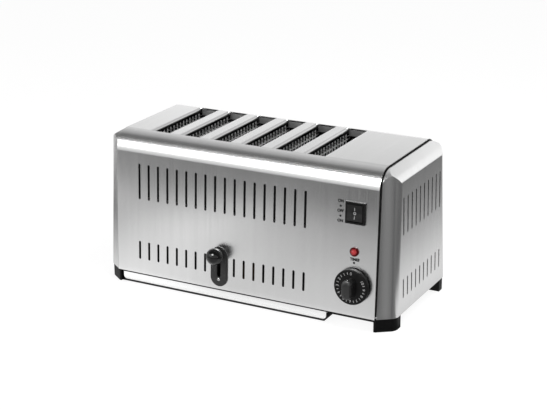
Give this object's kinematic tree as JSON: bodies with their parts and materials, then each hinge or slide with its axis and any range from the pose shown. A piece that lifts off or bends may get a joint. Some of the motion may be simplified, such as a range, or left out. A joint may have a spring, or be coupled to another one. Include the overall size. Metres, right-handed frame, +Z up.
{
  "type": "commercial pop-up toaster",
  "caption": "Long stainless counter toaster with a row of bread slots on top, vented front and ends, ball lever, rocker switch, red lamp, timer knob and slide-out crumb tray.",
  "frame": {"origin": "on the table, at the middle of the overall length and depth", "axes": "+X along the length to the controls, -Y out of the front, +Z up"},
  "size_m": [0.4632, 0.2452, 0.228],
  "materials": {
    "brushed_stainless": "brushed",
    "inner_plate": "satin",
    "foot_plastic": "matt",
    "bright_steel": "polished",
    "wire_steel": "drawn wire",
    "mica": "matt",
    "heater_ribbon": "oxidised",
    "bush_brass": "turned",
    "black_moulding": "moulded gloss",
    "rocker_plastic": "moulded",
    "red_lens": "clear red",
    "lamp_plastic": "moulded",
    "coil_plastic": "varnished",
    "ceramic": "glazed"
  },
  "bodies": {
    "toaster_body": {"outer_shell": "brushed_stainless", "left_end_cap": "brushed_stainless", "right_end_cap": "brushed_stainless", "left_end_frame": "inner_plate", "right_end_frame": "inner_plate", "base_plate": "inner_plate", "front_left_foot": "foot_plastic", "front_right_foot": "foot_plastic", "rear_left_foot": "foot_plastic", "rear_right_foot": "foot_plastic", "foot_screws": "bright_steel", "left_tray_runner": "inner_plate", "right_tray_runner": "inner_plate", "top_deck": "inner_plate", "front_heat_plate": "inner_plate", "rear_heat_plate": "inner_plate", "left_heat_plate": "inner_plate", "control_bulkhead": "inner_plate", "bread_guard_1": "wire_steel", "bread_guard_2": "wire_steel", "bread_guard_3": "wire_steel", "bread_guard_4": "wire_steel", "bread_guard_5": "wire_steel", "bread_guard_6": "wire_steel", "heater_card_1": "mica", "heater_card_2": "mica", "heater_card_3": "mica", "heater_card_4": "mica", "heater_card_5": "mica", "heater_card_6": "mica", "heater_card_7": "mica", "heater_ribbons": "heater_ribbon", "guide_rods": "bright_steel", "left_lift_spring": "bright_steel", "right_lift_spring": "bright_steel", "hold_magnet": "coil_plastic", "lever_guide_plate": "black_moulding", "guide_plate_screws": "bright_steel", "switch_housing": "black_moulding", "lamp_lens": "red_lens", "lamp_holder": "lamp_plastic", "timer_body": "ceramic", "timer_nut": "bright_steel", "terminal_block": "ceramic", "cable_gland": "black_moulding"},
    "lift": {"lift_carriage": "inner_plate", "carriage_bushes": "bush_brass", "bread_rack_1": "wire_steel", "bread_rack_2": "wire_steel", "bread_rack_3": "wire_steel", "bread_rack_4": "wire_steel", "bread_rack_5": "wire_steel", "bread_rack_6": "wire_steel", "lever_arm": "bright_steel", "lever_knob": "black_moulding", "armature": "inner_plate"},
    "timer_dial": {"timer_shaft": "bright_steel", "timer_knob": "black_moulding"},
    "switch_rocker": {"rocker": "rocker_plastic"},
    "tray": {"crumb_tray": "brushed_stainless"}
  },
  "joints": [
    {"name": "lever_slide", "type": "slide", "parent": "toaster_body", "child": "lift", "axis": [0, 0, 1], "range_m": [-0.032, 0], "stiffness_N_per_m": 450, "springref_m": 0.04, "deforming": ["left_lift_spring", "right_lift_spring"]},
    {"name": "dial_turn", "type": "hinge", "parent": "toaster_body", "child": "timer_dial", "pos_m": [0.1741, -0.09692, 0.0628], "axis": [0, -0.9986, 0.0523], "range_deg": [-300, 0]},
    {"name": "rocker_tilt", "type": "hinge", "parent": "toaster_body", "child": "switch_rocker", "pos_m": [0.1741, -0.09032, 0.16544], "axis": [1, 0, 0], "range_deg": [-10, 10]},
    {"name": "tray_slide", "type": "slide", "parent": "toaster_body", "child": "tray", "axis": [0, -1, 0], "range_m": [0, 0.17]}
  ]
}
